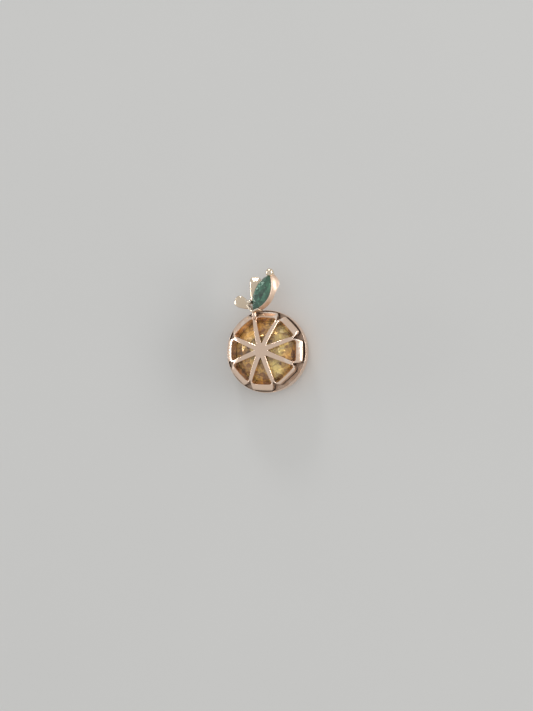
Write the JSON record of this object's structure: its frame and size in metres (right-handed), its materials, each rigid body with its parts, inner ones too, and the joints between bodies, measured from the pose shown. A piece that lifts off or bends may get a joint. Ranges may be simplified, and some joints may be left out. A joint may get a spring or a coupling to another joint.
{
  "type": "lemon slice charm",
  "caption": "Polished rose gold citrus slice charm with a yellow stone behind its windows and a green stone leaf.",
  "frame": {"origin": "middle of the flat back, at the centre of the round cup", "axes": "+Z out of the face of the slice, +Y from the slice towards the leaves, +X to the right when the face is seen"},
  "size_m": [0.0084, 0.0126, 0.0037],
  "materials": {
    "rose_gold": "polished",
    "pale_gold": "polished",
    "yellow_gem": "faceted, polished",
    "green_gem": "faceted, polished"
  },
  "bodies": {
    "root": {"cup": "rose_gold", "slice_frame": "rose_gold", "yellow_stone": "yellow_gem", "stem": "rose_gold", "leaf_setting": "rose_gold", "green_stone": "green_gem", "tip_prong": "pale_gold", "side_prong": "pale_gold", "pointed_prong": "pale_gold", "side_leaf": "pale_gold", "upper_leaf": "pale_gold"}
  },
  "joints": []
}
